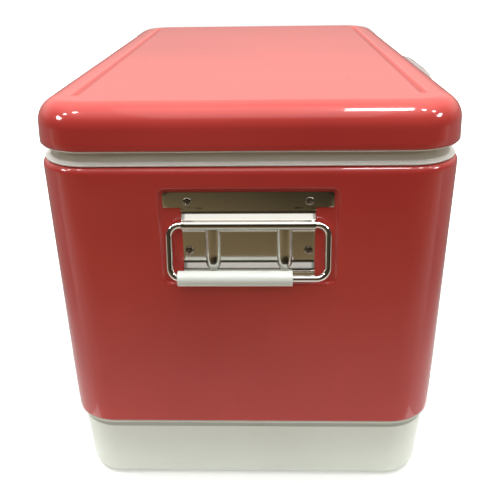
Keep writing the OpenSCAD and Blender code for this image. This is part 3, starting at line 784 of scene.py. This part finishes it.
class Tree(Nodes):
    """A Geometry Nodes tree with named inputs."""

    def __init__(self, name, **inputs):
        super().__init__(bpy.data.node_groups.new(name, "GeometryNodeTree"))
        face = self.tree.interface
        face.new_socket("Geometry", in_out="INPUT", socket_type="NodeSocketGeometry")
        self.keys = {}
        for key, value in inputs.items():
            kind = {float: "NodeSocketFloat", int: "NodeSocketInt"}.get(type(value), "NodeSocketObject")
            socket = face.new_socket(key, in_out="INPUT", socket_type=kind)
            self.keys[key] = socket.identifier
            if kind != "NodeSocketObject":
                socket.default_value = value
        face.new_socket("Geometry", in_out="OUTPUT", socket_type="NodeSocketGeometry")
        self.source = self.add("NodeGroupInput")

    def input(self, name):
        return self.source.out(name)

    def result(self, geometry, finish_material):
        real = self.add("GeometryNodeRealizeInstances", i0=geometry)
        painted = self.add("GeometryNodeSetMaterial", i0=real, Material=finish_material)
        self.add("NodeGroupOutput", i0=painted)


def grown(name, tree, finish_material, matrix, points=((0, 0, 0),), sharp=40, **values):
    """Runs a tree on points and keeps the result as a plain mesh in place."""
    seed_mesh = bpy.data.meshes.new(name + "_points")
    seed_mesh.from_pydata([tuple(p) for p in points], [], [])
    seed = new_object(name + "_points", seed_mesh)
    modifier = seed.modifiers.new("grow", "NODES")
    modifier.node_group = tree.tree
    for key, value in values.items():
        modifier[tree.keys[key]] = value
    bpy.context.view_layer.update()
    evaluated = seed.evaluated_get(bpy.context.evaluated_depsgraph_get())
    mesh = bpy.data.meshes.new_from_object(evaluated)
    bpy.data.objects.remove(seed)
    mesh.name = name
    mesh.transform(matrix)
    mesh.materials.clear()
    mesh.materials.append(finish_material)
    mesh.shade_smooth()
    mesh.set_sharp_from_angle(angle=math.radians(sharp))
    return new_object(name, mesh)


wire_tree = Tree("bent_wire_loop", Width=bail_width * MM, Length=bail_length * MM,
                 Bend=bail_bend * MM, Wire=bail_wire * MM)
outline = wire_tree.add("GeometryNodeCurvePrimitiveQuadrilateral",
                        Width=wire_tree.input("Width"), Height=wire_tree.input("Length"))
bent = wire_tree.add("GeometryNodeFilletCurve", {"mode": "POLY"}, Curve=outline, Count=14,
                     Radius=wire_tree.input("Bend"))
section = wire_tree.add("GeometryNodeCurvePrimitiveCircle", Resolution=28, Radius=wire_tree.input("Wire"))
wire_tree.result(wire_tree.add("GeometryNodeCurveToMesh", i0=bent, i1=section), bright_wire)


def bail_place(turn):
    """From a loop flat in XY, centred, to one hanging from the barrel and leaning out."""
    stand = Matrix(((0, 0, 1, 0), (1, 0, 0, 0), (0, 1, 0, -bail_length / 2 * MM), (0, 0, 0, 1)))
    lean = Matrix.Rotation(-bail_lean, 4, "Y")
    pivot = Matrix.Translation(((pocket_floor + bail_out) * MM, 0, bail_z * MM))
    return Matrix.Rotation(turn, 4, "Z") @ pivot @ lean @ stand


for side, turn in (("left", math.pi), ("right", 0.0)):
    loop = grown(f"wire_bail_{side}", wire_tree, bright_wire, bail_place(turn))
    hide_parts(f"bail_{side}")
    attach(loop, f"bail_{side}")

# ---------------------------------------------------------------- grips
# A length of white vinyl tube on each bail, cut square with its ends just eased, and free to
# slide and turn on the wire.
grip_half = 51.75
grip_radius = 7.0
grip_bore = 3.9
grip_round = 0.8

grip_vinyl, n = material("grip_vinyl")
where = place(n)
tone = noise(n, where, 30, 3)
skin = noise(n, where, 500, 3)
finish(n, Base_Color=mixed(n, tone, rgba(0.84, 0.90, 0.84), rgba(0.88, 0.93, 0.88)),
       Roughness=tone * 0.1 + skin * 0.06 + 0.26, Coat_Weight=0.3, Coat_Roughness=0.15,
       Normal=bump(n, skin * 0.6 + tone * 0.4, 0.00008, 0.5))


def lathe(name, profile, finish_material, matrix, around=48):
    """Turns a closed (radius, along) outline about its axis, local Z, then places it."""
    angles = [2 * math.pi * k / around for k in range(around)]
    points = [(radius * math.cos(a), radius * math.sin(a), along)
              for radius, along in profile for a in angles]
    faces = []
    for i in range(len(profile)):
        low, high = i * around, (i + 1) % len(profile) * around
        for k in range(around):
            after = (k + 1) % around
            faces.append((low + k, low + after, high + after, high + k))
    obj = solid(name, points, faces, finish_material, sharp=40)
    obj.data.transform(matrix)
    return obj


grip_end = [(grip_radius - grip_round + grip_round * math.cos(a),
             grip_half - grip_round + grip_round * math.sin(a)) for a in arc_steps(5)]
grip_end += [(grip_bore + 0.3, grip_half), (grip_bore, grip_half - 0.3)]
grip_profile = [(radius, -along) for radius, along in grip_end[::-1]]
grip_profile += [(grip_radius, along) for along in (-30, -10, 10, 30)] + grip_end
for side in ("left", "right"):
    low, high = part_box(f"grip_{side}")
    middle = (low + high) / 2
    sleeve = lathe(f"grip_tube_{side}", grip_profile, grip_vinyl,
                   Matrix.Translation(middle) @ Matrix.Rotation(math.pi / 2, 4, "X"))
    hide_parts(f"grip_{side}")
    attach(sleeve, f"grip_{side}")

# ---------------------------------------------------------------- screws
# Pan-head screws with a cross recess, in plated steel dulled by handling. Each was driven home
# by hand, so no two crosses stand at the same angle.
screw_steel, n = material("screw_steel")
where = place(n)
wear = noise(n, where, 260, 4, 0.6)
# On the screws this is real dirt, in random patches.
grime_and_shade = noise(n, where, 700, 4).ramp(0.5, 0.66)
colour = mixed(n, wear, rgba(0.26, 0.23, 0.19), rgba(0.42, 0.39, 0.34))
finish(n, Base_Color=mixed(n, grime_and_shade * 0.7, colour, rgba(0.16, 0.13, 0.09)), Metallic=1.0,
       Roughness=wear * 0.14 + grime_and_shade * 0.2 + 0.16, Normal=bump(n, wear, 0.00005, 0.5))

head_height = 1.8
dome_drop = 0.75
shank_radius = 2.0
shank_length = 9.0
recess_arm = 0.56
recess_half = 0.52
recess_depth = 1.05


def screw_recess(x, y, radius):
    """How far the cross recess is pressed in at a place on the head."""
    if max(abs(x), abs(y)) >= recess_arm * radius:
        return 0.0
    return recess_depth * max(0.0, 1 - (min(abs(x), abs(y)) / recess_half) ** 4)


def screw_head(name, radius):
    """One screw about local Z, with the underside of its head on Z = 0."""
    around = 64
    profile = [(t * radius, head_height - dome_drop * t ** 3.2) for t in np.linspace(0.03, 0.92, 24)]
    profile += [(radius * 0.97, head_height - dome_drop), (radius, head_height - 1.05), (radius, 0.0),
                (shank_radius, -0.05), (shank_radius, 0.6 - shank_length), (1.2, -shank_length),
                (0.05, -shank_length)]
    points = []
    for r, z in profile:
        for k in range(around):
            x = r * math.cos(2 * math.pi * k / around)
            y = r * math.sin(2 * math.pi * k / around)
            points.append((x, y, z - (screw_recess(x, y, radius) if z > head_height / 2 else 0)))
    last = (len(profile) - 1) * around
    faces = [tuple(range(around)), tuple(range(last, last + around))[::-1]]
    for low in range(0, last, around):
        high = low + around
        for k in range(around):
            after = (k + 1) % around
            faces.append((low + k, high + k, high + after, low + after))
    return solid(name, points, faces, screw_steel, sharp=30)


screws = Tree("screws_in_place", Screw=None, Seed=3)
cross_turn = screws.add("FunctionNodeRandomValue", {"data_type": "FLOAT_VECTOR"}, i0=(0, 0, 0),
                        i1=(0, 0, 6.28), Seed=screws.input("Seed"))
one_screw = screws.add("GeometryNodeObjectInfo", Object=screws.input("Screw")).out("Geometry")
screws.result(screws.add("GeometryNodeInstanceOnPoints", Points=screws.input("Geometry"),
                         Instance=one_screw, Rotation=cross_turn), screw_steel)
large_head = screw_head("large_head", 4.0)
small_head = screw_head("small_head", 3.6)


def facing(direction, seat):
    """Turns a plane, with local Z outwards and local Y up, to one end or side of the chest."""
    turn = {"left": math.pi, "right": 0.0, "front": -math.pi / 2, "back": math.pi / 2}[direction]
    stand = Matrix(((0, 0, 1, 0), (1, 0, 0, 0), (0, 1, 0, 0), (0, 0, 0, 1)))
    return Matrix.Rotation(turn, 4, "Z") @ Matrix.Translation((seat, 0, 0)) @ stand


def reach(name, direction):
    """How far a node reaches out from the chest's middle."""
    low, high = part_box(name)
    return {"left": -low.x, "right": high.x, "front": -low.y, "back": high.y}[direction]


hinge_x = (-170, 170)
plate_spots = [(y, z) for y in (-54, 54) for z in (bail_z - 27.4, bail_z + 20.7)]
latch_spots = [(x, 304) for x in (-64, -22, 22, 64)]
strike_spots = [(-23, 380), (23, 380)]
hinge_spots = [(x + dx, z) for x in hinge_x for dx, z in ((-20, 340), (20, 340), (0, 329))]
lid_spots = [(x + dx, 381) for x in hinge_x for dx in (-20, 20)]
for node, direction, head, spots, body, seed in (
    ("bracket_screws_left", "left", large_head, plate_spots, "chest", 4),
    ("bracket_screws_right", "right", large_head, plate_spots, "chest", 9),
    ("latch_bracket_screws", "front", large_head, latch_spots, "chest", 12),
    ("latch_strike_screws", "front", large_head, strike_spots, "lid", 15),
    ("hinge_body_screws", "back", small_head, hinge_spots, "chest", 21),
    ("hinge_lid_screws", "back", small_head, lid_spots, "lid", 25),
):
    seat = reach(node, direction) - head_height * MM
    batch = grown(f"set_{node}", screws, screw_steel, facing(direction, seat),
                  points=[(u * MM, v * MM, 0) for u, v in spots], sharp=30, Screw=head, Seed=seed)
    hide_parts(node)
    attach(batch, body)
bpy.data.objects.remove(large_head)
bpy.data.objects.remove(small_head)

# ---------------------------------------------------------------- latch spring
# Torsion spring of round wire, wound close on the latch pin. Its tails, hidden under the lever,
# aren't modelled.
spring_start = Vector((-0.0094, -0.1975, 0.330))
spring_length = 0.0188
spring_tree = Tree("wound_spring", Turns=11.0, Height=spring_length, Radius=0.00295, Wire=0.00062)
coil = spring_tree.add("GeometryNodeCurveSpiral", Resolution=24, Rotations=spring_tree.input("Turns"),
                       Start_Radius=spring_tree.input("Radius"), End_Radius=spring_tree.input("Radius"),
                       Height=spring_tree.input("Height"))
round_wire = spring_tree.add("GeometryNodeCurvePrimitiveCircle", Resolution=10,
                             Radius=spring_tree.input("Wire"))
spring_tree.result(spring_tree.add("GeometryNodeCurveToMesh", i0=coil, i1=round_wire, Fill_Caps=True),
                   screw_steel)
spring = grown("latch_coil", spring_tree, screw_steel,
               Matrix.Translation(spring_start) @ Matrix.Rotation(math.pi / 2, 4, "Y"))
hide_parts("latch_spring")
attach(spring, "chest")

# ---------------------------------------------------------------- parts left as they were cut
# Foam, gasket, drain fittings, latch and hinges keep their own shapes and take their finishes:
# the drain is white plastic, the latch's lever is chromed, the bracket, strike and hinges are
# stamped stainless, and the pins are plated.
chromed, n = material("chromed_lever")
smear = noise(n, place(n), 60, 3)
finish(n, Base_Color=mixed(n, smear, rgba(0.60, 0.59, 0.57), rgba(0.66, 0.65, 0.63)), Metallic=0.75,
       Roughness=smear * 0.08 + 0.22, Normal=bump(n, smear, 0.00004, 0.4))
own_finish = {
    "latch_lever": chromed,
    "body_foam": foam_material, "lid_foam": foam_material, "lid_gasket": seal_rubber,
    "drain_washer": seal_rubber, "drain_spout": white_plastic, "drain_nut": white_plastic,
    "drain_cap": white_plastic, "latch_pin": screw_steel, "hinge_pin_left": screw_steel,
    "hinge_pin_right": screw_steel,
}
for name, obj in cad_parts.items():
    obj.data.materials.clear()
    obj.data.materials.append(own_finish.get(name, stainless))
